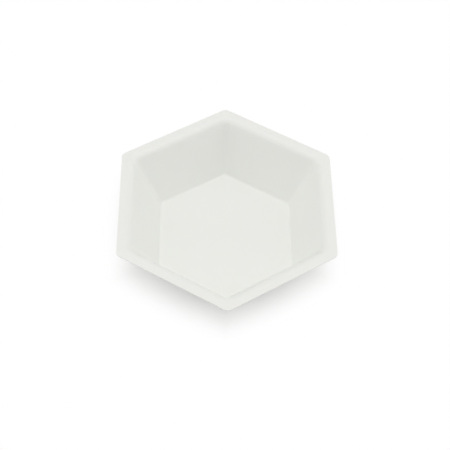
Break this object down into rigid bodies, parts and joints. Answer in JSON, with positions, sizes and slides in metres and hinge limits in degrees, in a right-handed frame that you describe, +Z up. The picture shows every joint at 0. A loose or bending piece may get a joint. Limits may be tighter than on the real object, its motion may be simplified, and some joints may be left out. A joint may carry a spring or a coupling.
{
  "type": "weighing boat",
  "caption": "Shallow hexagonal weighing boat formed from one thin white plastic sheet: flat floor, leaning walls and a narrow flat rim.",
  "frame": {"origin": "centre of the floor's underside, on the surface that the boat stands on", "axes": "+Z up through the open mouth; two corners of the hexagon lie on the Y axis, and two flats face along X"},
  "size_m": [0.076, 0.087, 0.0198],
  "materials": {
    "white_polystyrene": "smooth satin, very slightly translucent"
  },
  "bodies": {
    "root": {"boat": "white_polystyrene"}
  },
  "joints": []
}
